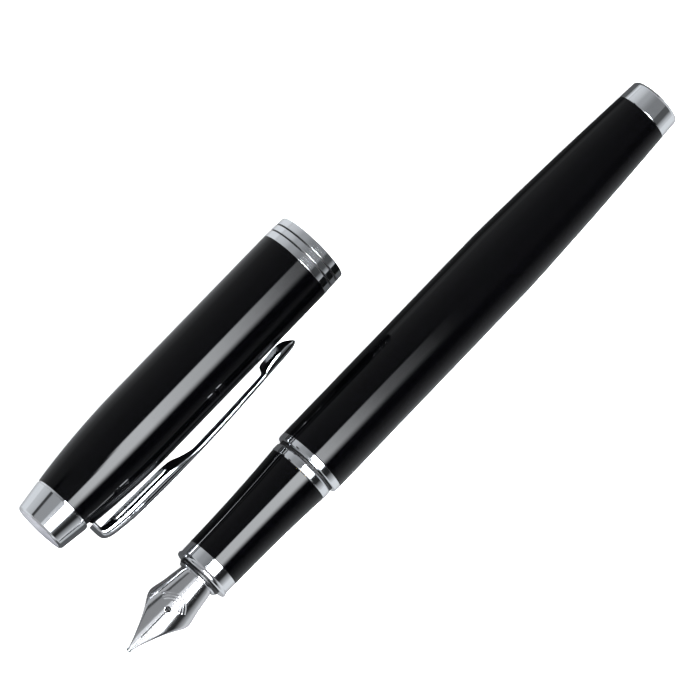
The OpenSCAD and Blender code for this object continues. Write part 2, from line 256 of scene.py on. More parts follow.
def rounded(outline):
    """Points (x, radius, normal) of an outline with its corners rounded, and whether it is solid.

    A corner is (x, radius) or (x, radius, rounding). The points run so that the normal, which
    lies to their right, faces out of the material. A solid outline has two corners on the axis.
    """
    corners = [(*p[:2], p[2] if len(p) > 2 else EDGE) for p in outline]
    count = len(corners)
    turns = zip(corners, corners[1:] + corners[:1])
    if sum(a[0] * b[1] - b[0] * a[1] for a, b in turns) < 0:
        corners.reverse()
    solid = sum(c[1] == 0 for c in corners) == 2
    if solid:
        start = next(i for i, c in enumerate(corners) if c[1] == 0 == corners[i - 1][1])
        corners = corners[start:] + corners[:start]
    points = []
    for i, (x, r, rounding) in enumerate(corners):
        if solid and i in (0, count - 1):
            points.append((x, 0.0, Vector((-1 if i else 1, 0))))
            continue
        here = Vector((x, r))
        arriving = here - Vector(corners[i - 1][:2])
        leaving = Vector(corners[(i + 1) % count][:2]) - here
        room = 0.49 * min(arriving.length, leaving.length)
        arriving.normalize()
        leaving.normalize()
        first = Vector((arriving.y, -arriving.x))
        last = Vector((leaving.y, -leaving.x))
        turn = math.atan2(arriving.cross(leaving), arriving.dot(leaving))
        if rounding is CURVE or abs(turn) < 0.02:
            points.append((x, r, (first + last).normalized()))
            continue
        slope = math.tan(abs(turn) / 2)
        reach = min(rounding * slope, room)
        side = math.copysign(reach / slope, turn)
        centre = here - arriving * reach - first * side
        steps = max(2, math.ceil(abs(turn) / math.radians(11)))
        for k in range(steps + 1):
            normal = Matrix.Rotation(turn * k / steps, 2) @ first
            spot = centre + normal * side
            points.append((spot.x, spot.y, normal))
    return points, solid


def new_piece(name, verts, faces, normals=None):
    """A smooth mesh object from points in millimetres, with a normal for each face corner if given."""
    mesh = bpy.data.meshes.new(name)
    mesh.from_pydata([Vector(v) * MM for v in verts], [], faces)
    mesh.shade_smooth()
    if normals:
        mesh.normals_split_custom_set(normals)
    mesh.update()
    piece = bpy.data.objects.new(name, mesh)
    bpy.context.scene.collection.objects.link(piece)
    return piece


def turned(name, outline, axis, slot=None):
    """Revolves an outline about an axis along X, given as (y, z).

    slot is (station, half width): an open-ended slot cut in a ring's -Y side, from its first
    station to that one.
    """
    points, solid = rounded(outline)
    count = len(points)
    verts, rings, corner_normals = [], [], []
    spokes = [2 * math.pi * j / AROUND for j in range(AROUND)]
    for x, r, normal in points:
        if r == 0:
            rings.append([len(verts)] * AROUND)
            verts.append((x, *axis))
        else:
            rings.append(list(range(len(verts), len(verts) + AROUND)))
            verts += [(x, axis[0] + r * math.cos(a), axis[1] + r * math.sin(a)) for a in spokes]

    def outward(i, j):
        normal = points[i % count][2]
        a = spokes[j % AROUND]
        return normal.x, normal.y * math.cos(a), normal.y * math.sin(a)

    open_j, cut = set(), set()
    if slot:
        station, half = slot
        wide = math.ceil(math.asin(half / points[0][1]) / (2 * math.pi) * AROUND)
        open_j = set(range(AROUND // 2 - wide, AROUND // 2 + wide))
        cut = {i for i in range(count) if max(points[i][0], points[(i + 1) % count][0]) <= station}
    faces = []
    for i in range(count - 1 if solid else count):
        for j in range(AROUND):
            if i in cut and j in open_j:
                continue
            n = (j + 1) % AROUND
            k = (i + 1) % count
            spots = [(i, j), (k, j), (k, n), (i, n)]
            ids = [rings[a][b] for a, b in spots]
            keep = [m for m in range(4) if ids[m] != ids[m - 1]]
            faces.append([ids[m] for m in keep])
            corner_normals += [outward(*spots[m]) for m in keep]
    if cut:  # the slot's two side walls, and then the wall at its end
        uncut = min(set(range(count)) - cut)
        run = sorted(cut, key=lambda i: (i - uncut) % count)
        loop = run + [(run[-1] + 1) % count]
        left, right = min(open_j), max(open_j) + 1
        for j, way in ((left, 1), (right, -1)):
            faces.append([rings[i][j] for i in loop][::way])
            a = spokes[j]
            corner_normals += [(0, way * math.sin(a), -way * math.cos(a))] * len(loop)
        first, last = rings[loop[0]], rings[loop[-1]]
        for j in range(left, right):
            faces.append([first[j], first[j + 1], last[j + 1], last[j]])
            corner_normals += [(-1, 0, 0)] * 4
    return new_piece(name, verts, faces, corner_normals)


def sampled(x0, x1, steps, radius):
    """Smooth outline points from x0 to x1, whose radius is a function of the share run so far."""
    return [(x0 + (x1 - x0) * k / steps, radius(k / steps), CURVE) for k in range(steps + 1)]


def placed(piece, finish, slot, body, *nodes):
    """Gives a finished piece its material, hangs it on its body and hides the CAD nodes that it replaces.
    """
    piece.data.materials.clear()
    piece.data.materials.append(finish)
    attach(piece, body)
    if nodes:
        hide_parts(*nodes)
    return piece


# Geometry Nodes for what repeats


def new_tree(name, **inputs):
    """A geometry tree with inputs of the named kinds, a material input and one mesh output."""
    tree = bpy.data.node_groups.new(name, "GeometryNodeTree")
    for label, kind in {**inputs, "Material": "Material"}.items():
        tree.interface.new_socket(label, in_out="INPUT", socket_type="NodeSocket" + kind)
    tree.interface.new_socket("Mesh", in_out="OUTPUT", socket_type="NodeSocketGeometry")
    return tree, add_node(tree, "NodeGroupInput").outputs


def close_tree(tree, mesh, sizes):
    """Ends a tree: smooth, real meshes with the material on them."""
    real = add_node(tree, "GeometryNodeRealizeInstances", {"Geometry": mesh})
    rounded_off = {"Geometry": real.outputs[0], "Shade Smooth": True}
    smooth = add_node(tree, "GeometryNodeSetShadeSmooth", rounded_off)
    painted = {"Geometry": smooth.outputs[0], "Material": sizes["Material"]}
    finish = add_node(tree, "GeometryNodeSetMaterial", painted)
    add_node(tree, "NodeGroupOutput", {0: finish.outputs[0]})
    return tree


def laid_along_x(tree, mesh, sizes):
    """Turns what was made along Z to lie along X, and moves it to its start."""
    turn = {"Geometry": mesh, "Rotation": (0, math.pi / 2, 0), "Translation": sizes["Start"]}
    return add_node(tree, "GeometryNodeTransform", turn).outputs[0]


def grown(name, tree, material, **sizes):
    """Runs a geometry tree and keeps what it makes as a plain mesh object."""
    piece = bpy.data.objects.new(name, bpy.data.meshes.new(name))
    bpy.context.scene.collection.objects.link(piece)
    modifier = piece.modifiers.new("Growth", "NODES")
    modifier.node_group = tree
    for item in tree.interface.items_tree:
        if item.in_out == "INPUT":
            key = item.name.lower().replace(" ", "_")
            modifier[item.identifier] = material if item.name == "Material" else sizes[key]
    bpy.context.view_layer.update()
    evaluated = piece.evaluated_get(bpy.context.evaluated_depsgraph_get())
    piece.data = bpy.data.meshes.new_from_object(evaluated)
    piece.data.name = name
    piece.modifiers.clear()
    return piece


def thread_tree():
    """A ridge that winds along X: a screw thread. Lengths in metres."""
    tree, sizes = new_tree(
        "Screw thread", Start="Vector", Length="Float", Turns="Float", Radius="Float", Ridge="Float"
    )
    path = add_node(
        tree,
        "GeometryNodeCurveSpiral",
        {
            "Resolution": 48,
            "Rotations": sizes["Turns"],
            "Start Radius": sizes["Radius"],
            "End Radius": sizes["Radius"],
            "Height": sizes["Length"],
        },
    )
    section = add_node(
        tree, "GeometryNodeCurvePrimitiveCircle", {"Resolution": 8, "Radius": sizes["Ridge"]}
    )
    swept = add_node(
        tree,
        "GeometryNodeCurveToMesh",
        {"Curve": path.outputs[0], "Profile Curve": section.outputs[0], "Fill Caps": True},
    )
    return close_tree(tree, laid_along_x(tree, swept.outputs[0], sizes), sizes)


def wound(name, material, start_x, run, lead, radius, ridge):
    """A screw thread on the pen's axis, as long as run, that rises by lead in each turn."""
    return grown(
        name,
        thread_tree(),
        material,
        start=Vector((start_x, *PEN_AXIS)) * MM,
        length=run * MM,
        turns=run / lead,
        radius=radius * MM,
        ridge=ridge * MM,
    )


def rib_tree():
    """Round ribs side by side about X: a milled grip. Lengths in metres."""
    tree, sizes = new_tree(
        "Milled ribs", Start="Vector", Length="Float", Count="Int", Radius="Float", Rib="Float"
    )
    circle = add_node(
        tree, "GeometryNodeMeshCircle", {"Vertices": sizes["Count"], "Radius": sizes["Radius"]}
    )
    rib = add_node(
        tree,
        "GeometryNodeMeshCylinder",
        {"Vertices": 10, "Radius": sizes["Rib"], "Depth": sizes["Length"]},
    )
    row = add_node(
        tree,
        "GeometryNodeInstanceOnPoints",
        {"Points": circle.outputs[0], "Instance": rib.outputs[0]},
    )
    return close_tree(tree, laid_along_x(tree, row.outputs[0], sizes), sizes)


def fin_tree():
    """Thin discs in a row along X that shrink by the same step each: the comb of a feed."""
    tree, sizes = new_tree(
        "Feed comb",
        Start="Vector", Pitch="Vector", Count="Int", Radius="Float", Thickness="Float", Shrink="Float",
    )
    row = add_node(
        tree,
        "GeometryNodeMeshLine",
        {"Count": sizes["Count"], "Start Location": sizes["Start"], "Offset": sizes["Pitch"]},
    )
    disc = add_node(
        tree,
        "GeometryNodeMeshCylinder",
        {"Vertices": 48, "Radius": sizes["Radius"], "Depth": sizes["Thickness"]},
    )
    index = add_node(tree, "GeometryNodeInputIndex")
    less = add_node(
        tree, "ShaderNodeMath", {0: index.outputs[0], 1: sizes["Shrink"]}, operation="MULTIPLY"
    )
    share = add_node(tree, "ShaderNodeMath", {0: 1.0, 1: less.outputs[0]}, operation="SUBTRACT")
    scale = add_node(
        tree,
        "ShaderNodeCombineXYZ",
        {"X": share.outputs[0], "Y": share.outputs[0], "Z": 1.0},
    )
    comb = add_node(
        tree,
        "GeometryNodeInstanceOnPoints",
        {
            "Points": row.outputs[0],
            "Instance": disc.outputs[0],
            "Rotation": (0, math.pi / 2, 0),
            "Scale": scale.outputs[0],
        },
    )
    return close_tree(tree, comb.outputs[0], sizes)


# The barrel and the grip


TAPER_START = 0.576  # share of the barrel that is cylindrical before the taper
NIB_SEAT_R = 3.14  # bore of the grip's front, which nib and feed are pushed into


def barrel_radius(share, r, tail_r):
    """Radius along the barrel's taper, which steepens a little towards the tail."""
    return r - (r - tail_r) * (0.64 * share + 0.36 * share * share)


def build_barrel(sizes, finish):
    """Tube, front ring, threaded bush, tail ring and tail plug."""
    x0, x1, r = span("barrel_tube")
    bore = span("barrel_thread_bush")[2]
    plug_x, plug_end, plug_r = span("barrel_tail_plug")
    tail_r = span("barrel_tail_band")[2]
    taper_x = x0 + TAPER_START * (x1 - x0)
    taper = sampled(taper_x, x1, 16, lambda t: barrel_radius(t, r, tail_r))
    wall = [(x, radius - r + bore, CURVE) for x, radius, _ in taper if x < plug_x]
    outline = [(x0, bore), (x0, r, 0.1), *taper[:-1], (x1, tail_r, 0.06), (x1, plug_r)]
    tube = turned("lacquered_barrel", [*outline, (plug_x, plug_r), *reversed(wall)], PEN_AXIS)
    placed(tube, finish.lacquer, "black_lacquer", "barrel", "barrel_tube")

    x0, x1, r = span("barrel_front_ring")
    bore = span("section_thread_collar")[2] + FIT
    ring = turned(
        "barrel_bead_ring",
        [(x0, bore), (x0, r - 0.32), (x0 + 0.12, r - 0.06, 0.25), (x0 + 0.45, r, 0.3),
         (x1 - 0.1, r), (x1, r - 0.1), (x1, bore)],
        PEN_AXIS,
    )
    placed(ring, finish.chrome, "chrome", "barrel", "barrel_front_ring")

    x0, x1, r = span("barrel_thread_bush")
    thread_x = x1 - sizes.thread_length / MM
    root = bore + 0.13
    bush = turned(
        "threaded_bush",
        [(x0, bore), (x0, r), (x1, r), (x1, root), (thread_x, root), (thread_x - 0.1, bore)],
        PEN_AXIS,
    )
    placed(bush, finish.brass, "turned_brass", "barrel", "barrel_thread_bush")
    run = x1 - thread_x - 0.5
    pitch = sizes.thread_pitch / MM
    winding = wound("bush_thread", finish.brass, thread_x + 0.25, run, pitch, bore + 0.18, 0.18)
    placed(winding, finish.brass, "turned_brass", "barrel")

    x0, x1, r = span("barrel_tail_band")
    band = turned(
        "tail_ring",
        [(x0, plug_r), (x0, r - 0.04, 0.03), (x0 + 0.12, r, 0.1), (x1 - 0.35, r - 0.17, 0.5),
         (x1, r - 0.5, 0.12), (x1, plug_r)],
        PEN_AXIS,
    )
    placed(band, finish.chrome, "chrome", "barrel", "barrel_tail_band")
    plug = turned(
        "tail_cap",
        [(plug_x, 0), (plug_x, plug_r), (plug_end - 0.12, plug_r), (plug_end, plug_r - 0.15),
         (plug_end, 0)],
        PEN_AXIS,
    )
    placed(plug, finish.satin, "chrome", "barrel", "barrel_tail_plug")


def build_grip(sizes, finish):
    """Washer, rear ring, shell, front band, core, threaded collar and the two rings at the nib."""
    bore = span("section_thread_collar")[2] + FIT
    x0, x1, r = span("thread_washer")
    washer = turned("grip_washer", [(x0, bore), (x0, r, 0.1), (x1, r, 0.1), (x1, bore)], PEN_AXIS)
    placed(washer, finish.rubber, "rubber", "washer", "thread_washer")

    x0, x1, r = span("section_rear_band")
    band = turned(
        "grip_rear_ring",
        [(x0, bore), (x0, r - 0.08), (x0 + 0.2, r, 0.12), (x1 - 0.2, r, 0.12), (x1, r - 0.14), (x1, bore)],
        PEN_AXIS,
    )
    placed(band, finish.chrome, "chrome", "rear_band", "section_rear_band")

    core_x, core_end, core_r = span("section_core")
    x0, x1, r = span("section_shell")
    front_r = sizes.grip_front_diameter / 2 / MM
    collar_x, collar_end, thread_r = span("section_thread_collar")
    root_r = core_r + 0.26
    waist = sampled(x0, x1, 14, lambda t: front_r + (r - front_r) * t * t)
    shell = turned(
        "lacquered_grip",
        [(x0, core_r), (x0, front_r, 0.06), *waist[1:-1], (x1, r, 0.06), (x1, root_r),
         (collar_x, root_r), (collar_x, core_r)],
        PEN_AXIS,
    )
    placed(shell, finish.lacquer, "black_lacquer", "grip", "section_shell")

    x0, x1, r = span("section_front_band")
    neck = r - 0.21
    lip = turned(
        "grip_front_band",
        [(x0, core_r), (x0, r - 0.2, 0.12), (x0 + 0.16, r - 0.04, 0.2), (x0 + 0.42, r, 0.28),
         (x0 + 0.64, r - 0.1, 0.2), (x0 + 0.82, neck, 0.5), (x1, neck, 0.05), (x1, core_r)],
        PEN_AXIS,
    )
    placed(lip, finish.chrome, "chrome", "grip", "section_front_band")

    nipple_r = 1.75
    channel_r = 0.6
    shoulder_x = x1 + 14
    seat_x = span("feed")[1]
    core = turned(
        "grip_core",
        [(core_x, NIB_SEAT_R), (core_x, core_r), (shoulder_x, core_r, 0.2), (shoulder_x, nipple_r, 0.1),
         (core_end, nipple_r, 0.3), (core_end, channel_r), (seat_x, channel_r), (seat_x, NIB_SEAT_R)],
        PEN_AXIS,
    )
    placed(core, finish.plastic, "black_plastic", "grip", "section_core")

    land_x = span("section_shell")[1]
    thread_x = collar_end - sizes.thread_length / MM
    groove_r = thread_r - 0.14
    collar = turned(
        "threaded_collar",
        [(collar_x, core_r), (collar_x, root_r), (land_x, root_r), (land_x, thread_r, 0.05),
         (thread_x, thread_r), (thread_x + 0.1, groove_r), (collar_end - 0.3, groove_r),
         (collar_end, thread_r - 0.36), (collar_end, core_r)],
        PEN_AXIS,
    )
    placed(collar, finish.brass, "turned_brass", "grip", "section_thread_collar")
    run = collar_end - thread_x - 0.9
    pitch = sizes.thread_pitch / MM
    winding = wound("collar_thread", finish.brass, thread_x + 0.3, run, pitch, thread_r - 0.2, 0.19)
    placed(winding, finish.brass, "turned_brass", "grip")

    for name, node, material, slot, soft in (
        ("nib_collar_ring", "nib_collar", finish.plastic, "black_plastic", 0.12),
        ("nib_collar_bead", "nib_collar_trim", finish.chrome, "chrome", 0.14),
    ):
        x0, x1, r = span(node)
        outline = [(x0, NIB_SEAT_R), (x0, r, soft), (x1, r, soft), (x1, NIB_SEAT_R)]
        ring = turned(name, outline, PEN_AXIS)
        placed(ring, material, slot, "grip", node)


# The nib unit

# Stations along the nib are counted from its point.
NIB_BEND_S = 16.6  # station where the cone that the sheet is bent round begins
NIB_TILT = math.radians(21)  # tilt of that cone's axis
NIB_BEND_R = 3.3  # its radius where it begins
NIB_FLARE = 0.2  # how fast it widens towards the point
NIB_STEM_R = 3.1  # radius of the part that goes into the grip
BREATHER_S = 8.9
BREATHER_R = 0.5
SLIT_HALF = 0.06
FIRST_FIN_S = 6.4
SEAT_S = 16  # where nib and feed enter the grip
ARC_RADII = (1.7, 2.2, 2.7)  # engraved arcs, from the centre of the breather hole
ROLLED_EDGE = 0.12  # how far the rim of the upper face is rolled down
NIB_HALF_PLAN = [  # half width of the sheet at each station
    (0.7, 0.38), (2, 0.78), (4, 1.54), (6, 2.42), (7.2, 3.05), (8.2, 3.62), (8.9, 3.96),
    (9.7, 4.1), (10.6, 3.95), (12, 3.62), (14, 3.3), (15.3, 3.05), (16, 2.9), (26, 2.9),
]


def along(points, at):
    """Value at a station on a smooth curve through (station, value) points."""
    final = len(points) - 1
    i = max(1, next((k for k, p in enumerate(points) if p[0] > at), final))
    slopes = []
    for k in (i - 1, i):
        low, high = points[max(k - 1, 0)], points[min(k + 1, final)]
        slopes.append((high[1] - low[1]) / (high[0] - low[0]))
    (s0, v0), (s1, v1) = points[i - 1], points[i]
    t = (at - s0) / (s1 - s0)
    run = s1 - s0
    return (
        (2 * t**3 - 3 * t**2 + 1) * v0
        + (t**3 - 2 * t**2 + t) * run * slopes[0]
        + (3 * t**2 - 2 * t**3) * v1
        + (t**3 - t**2) * run * slopes[1]
    )


def nib_height(s, y, inset):
    """Height above the pen's axis of the nib's sheet, taken in by inset from its upper face."""
    c, k = math.cos(NIB_TILT), math.sin(NIB_TILT)
    u = (NIB_BEND_S - s) / c
    rise = 0.0
    for _ in range(14):
        r = NIB_BEND_R + NIB_FLARE * u - inset
        rise = math.sqrt(max(r * r - y * y, 0.01))
        u = (NIB_BEND_S - s - k * rise) / c
    cone = c * rise - k * u
    stem = math.sqrt(max((NIB_STEM_R - inset) ** 2 - y * y, 0.01))
    share = min(max((s - 15.0) / 0.8, 0), 1)
    return cone + (stem - cone) * share * share * (3 - 2 * share)


def engraving(s, y, sizes):
    """Depth of the plain engraved arcs behind the breather hole."""
    reach = math.hypot(s - BREATHER_S, y)
    swing = abs(math.atan2(y, s - BREATHER_S))
    fade = min(max((1.15 - swing) / 0.08, 0), 1)
    half = sizes.engraving_width / 2 / MM
    depth = sum(math.exp(-(((reach - r) / half) ** 2)) for r in ARC_RADII)
    return depth * fade * sizes.engraving_depth / MM


def nib_row(s, sizes):
    """One cross-section of half the nib: its upper points and its lower points, as (y, height)."""
    thick = sizes.nib_thickness / MM
    outer = along(NIB_HALF_PLAN, s)
    past = s - BREATHER_S
    hole = math.sqrt(max(BREATHER_R**2 - past**2, 0))
    inner = max(hole, SLIT_HALF if past < 0 else 0)
    soft = 0.05 if inner > 0 else 0
    edges = [math.radians(a) for a in (0, 30, 60, 90)]
    columns = 60
    upper = [(inner + soft * (1 - math.sin(a)), soft * (1 - math.cos(a))) for a in reversed(edges)]
    roll = min(0.5, 0.4 * outer)
    rolled = [math.radians(a) for a in range(0, 91, 9)]
    first, last = inner + soft, outer - roll
    upper += [(first + (last - first) * k / columns, 0) for k in range(1, columns)]
    upper += [(last + roll * math.sin(a), ROLLED_EDGE * (1 - math.cos(a))) for a in rolled]
    top = [(y, nib_height(s, y, inset) - engraving(s, y, sizes)) for y, inset in upper]
    under = [inner + (outer - inner) * k / 14 for k in range(15)]
    return top, [(y, nib_height(s, y, thick)) for y in under]


def build_nib(sizes, finish):
    """The slit sheet and the split ball at its point."""
    # Stations are close together at the hole and the arcs, and far apart inside the grip.
    stations = [0.7 + 0.1 * k for k in range(77)]
    stations += [BREATHER_S - BREATHER_R * math.cos(math.pi * k / 18) for k in range(19)]
    stations += [9.46 + 0.05 * k for k in range(108)]
    stations += [15 + 0.2 * k for k in range(6)] + [16.5, 18, 20, 23, 26]
    rows = [nib_row(s, sizes) for s in stations]
    wide, low = len(rows[0][0]), len(rows[0][1])
    verts, faces = [], []
    closed = next(i for i, s in enumerate(stations) if s >= BREATHER_S + BREATHER_R - 1e-6)
    for side in (1, -1):
        base = len(verts)
        for s, (top, under) in zip(stations, rows):
            verts += [
                (NIB_POINT_X + s, PEN_AXIS[0] + side * y, PEN_AXIS[1] + z) for y, z in top + under
            ]
        step = wide + low

        def quad(i, a, b):
            ids = [base + i * step + a, base + (i + 1) * step + a]
            ids += [base + (i + 1) * step + b, base + i * step + b]
            faces.append(ids[:: -side])

        for i in range(len(stations) - 1):
            for j in range(wide - 1):
                quad(i, j, j + 1)
            for j in range(wide, step - 1):
                quad(i, j + 1, j)
            quad(i, wide - 1, step - 1)
            if i < closed:
                quad(i, wide, 0)
        for i, way in ((0, 1), (len(stations) - 1, -1)):
            loop = [base + i * step + j for j in [*range(wide), *range(step - 1, wide - 1, -1)]]
            faces.append(loop[:: way * side])
    nib = new_piece("nib_blade", verts, faces)
    merge_and_face_out(nib)
    nib.data.set_sharp_from_angle(angle=math.radians(50))
    placed(nib, finish.steel, "nib_steel", "nib_unit", "nib")

    x0, _, r = span("nib_tip")
    centre = Vector((x0 + r, PEN_AXIS[0], PEN_AXIS[1] + r)) * MM
    ball = bmesh.new()
    for side in (1, -1):
        half = bmesh.ops.create_uvsphere(ball, u_segments=40, v_segments=24, radius=r * MM)["verts"]
        edges = {e for v in half for e in v.link_edges}
        geom = [*half, *edges, *{f for v in half for f in v.link_faces}]
        cut = bmesh.ops.bisect_plane(
            ball,
            geom=geom,
            dist=1e-8,
            plane_co=(0, side * SLIT_HALF * MM, 0),
            plane_no=(0, side, 0),
            clear_inner=True,
        )["geom_cut"]
        bmesh.ops.contextual_create(ball, geom=[e for e in cut if isinstance(e, bmesh.types.BMEdge)])
    bmesh.ops.translate(ball, verts=ball.verts, vec=centre)
    point = new_piece("nib_point", [], [])
    ball.to_mesh(point.data)
    ball.free()
    merge_and_face_out(point)
    point.data.shade_smooth()
    point.data.set_sharp_from_angle(angle=math.radians(50))
    placed(point, finish.alloy, "nib_steel", "nib_unit", "nib_tip")


def merge_and_face_out(piece):
    """Merges doubled points, drops faces without area and turns every face outwards."""
    shape = bmesh.new()
    shape.from_mesh(piece.data)
    bmesh.ops.remove_doubles(shape, verts=shape.verts, dist=1e-7)
    bmesh.ops.dissolve_degenerate(shape, edges=shape.edges, dist=1e-8)
    bmesh.ops.recalc_face_normals(shape, faces=shape.faces)
    shape.to_mesh(piece.data)
    shape.free()


def build_feed(sizes, finish):
    """The feed's body, and the comb of fins under it."""
    x0, x1, _ = span("feed")
    front_r, rear_r = 0.75, 3.0
    fall = math.radians(3)
    seat_x = NIB_POINT_X + SEAT_S
    depth = sizes.feed_comb_depth / MM
    first_fin = NIB_POINT_X + FIRST_FIN_S
    body = turned(
        "feed_body",
        [(x0, 0), (x0, front_r, 0.3), (first_fin - 0.5, front_r + 0.45, 0.1),
         (first_fin - 0.3, front_r + 0.1), (seat_x - 1.0, rear_r - depth - 0.25),
         (seat_x - 0.7, rear_r - 0.2), (x1, rear_r - 0.28, 0.2), (x1, 0)],
        PEN_AXIS,
    )
    pivot = Matrix.Translation(Vector((seat_x, *PEN_AXIS)) * MM)
    body.data.transform(pivot @ Matrix.Rotation(-fall, 4, "Y") @ pivot.inverted())
    placed(body, finish.plastic, "black_plastic", "nib_unit", "feed")
    count = sizes.feed_fins
    pitch = (seat_x - 1.4 - first_fin) / count
    slope = (rear_r - front_r) / (seat_x - x0)
    last_r = front_r + slope * (first_fin - x0)
    first_r = last_r + slope * pitch * (count - 1)
    start = Vector((first_fin + pitch * (count - 1), PEN_AXIS[0], 0))
    start.z = PEN_AXIS[1] - math.tan(fall) * (seat_x - start.x)
    comb = grown(
        "feed_comb",
        fin_tree(),
        finish.plastic,
        start=start * MM,
        pitch=Vector((-pitch, 0, -math.tan(fall) * pitch)) * MM,
        count=count,
        radius=first_r * MM,
        thickness=0.5 * pitch * MM,
        shrink=slope * pitch / first_r,
    )
    placed(comb, finish.plastic, "black_plastic", "nib_unit")


# The converter


def build_converter(sizes, finish):
    """Tube, sleeve, bush, twist knob, piston screw and piston plug."""
    x0, x1, r = span("converter_tube")
    chamber_x = NIB_POINT_X + 40
    tube = turned(
        "converter_glass",
        [(x0, 1.8), (x0, r - 0.2, 0.1), (x0 + 0.3, r, 0.2), (x1, r), (x1, 3.0), (chamber_x, 3.0, 0.3),
         (chamber_x - 0.8, 1.8)],
        PEN_AXIS,
    )
    placed(tube, finish.clear, "clear_plastic", "converter", "converter_tube")

    knob_r = span("converter_knob")[2]
    nut_x, nut_end, nut_r = span("converter_nut")
    x0, x1, r = span("converter_band")
    bore, groove_r = r - 0.18, r - 0.09
    sleeve = turned(
        "converter_sleeve",
        [(x0, bore), (x0, r, 0.08), (x0 + 1.1, r, 0.02), (x0 + 1.2, groove_r, 0.05),
         (x0 + 1.5, groove_r, 0.05), (x0 + 1.6, r, 0.02), (x1, r, 0.15), (x1, nut_r), (nut_x, nut_r),
         (nut_x, bore)],
        PEN_AXIS,
    )
    placed(sleeve, finish.chrome, "chrome", "converter", "converter_band")
    rod_r = span("piston_rod")[2]
    nut = turned(
        "converter_bush",
        [(nut_x, rod_r + FIT), (nut_x, nut_r), (nut_end, nut_r), (nut_end, rod_r + FIT, 0.2)],
        PEN_AXIS,
    )
    placed(nut, finish.plastic, "black_plastic", "converter", "converter_nut")

    x0, x1, _ = span("converter_knob")
    rib_r = sizes.knob_rib / 2 / MM
    core_r = knob_r - rib_r * 0.7
    neck_x = span("converter_band")[1] + 0.15
    knob = turned(
        "converter_twist_knob",
        [(x0, 1.4), (x0, knob_r - 0.03), (neck_x, knob_r - 0.03, 0.05), (neck_x + 1, knob_r, 0.2),
         (neck_x + 1.6, knob_r, 0.2), (neck_x + 1.9, core_r, 0.1), (x1 - 1.9, core_r, 0.1),
         (x1 - 1.6, knob_r, 0.2), (x1, knob_r, 0.6), (x1, 0), (x1 - 2, 0), (x1 - 2, 1.4)],
        PEN_AXIS,
    )
    placed(knob, finish.plastic, "black_plastic", "knob", "converter_knob")
    ribs = grown(
        "knob_milling",
        rib_tree(),
        finish.plastic,
        start=Vector(((neck_x + x1) / 2, *PEN_AXIS)) * MM,
        length=(x1 - neck_x - 3.4) * MM,
        count=int(2 * math.pi * knob_r * MM / (1.35 * sizes.knob_rib)),
        radius=(knob_r - rib_r) * MM,
        rib=rib_r * MM,
    )
    placed(ribs, finish.plastic, "black_plastic", "knob")

    x0, x1, r = span("piston_rod")
    core = r - 0.25
    rod = turned("piston_screw", [(x0, 0), (x0, core), (x1, core, 0.1), (x1, 0)], PEN_AXIS)
    placed(rod, finish.bright, "bright_steel", "piston", "piston_rod")
    lead = sizes.piston_lead / MM
    run = x1 - x0 - 2.5
    for name, offset in (("piston_thread_one", 0.0), ("piston_thread_two", 0.5)):
        start_x = x0 + 0.6 + offset * lead
        winding = wound(name, finish.bright, start_x, run, lead, r - 0.3, 0.3)
        placed(winding, finish.bright, "bright_steel", "piston")

    x0, x1, r = span("piston_seal")
    seal = turned(
        "piston_plug",
        [(x0, 0), (x0, r - 0.5, 0.2), (x0 + 0.3, r, 0.15), (x0 + 1, r, 0.15), (x0 + 1.4, r - 0.5, 0.2),
         (x1 - 1.4, r - 0.5, 0.2), (x1 - 1, r, 0.15), (x1, r, 0.15), (x1, 0)],
        PEN_AXIS,
    )
    placed(seal, finish.rubber, "rubber", "piston", "piston_seal")


# The cap


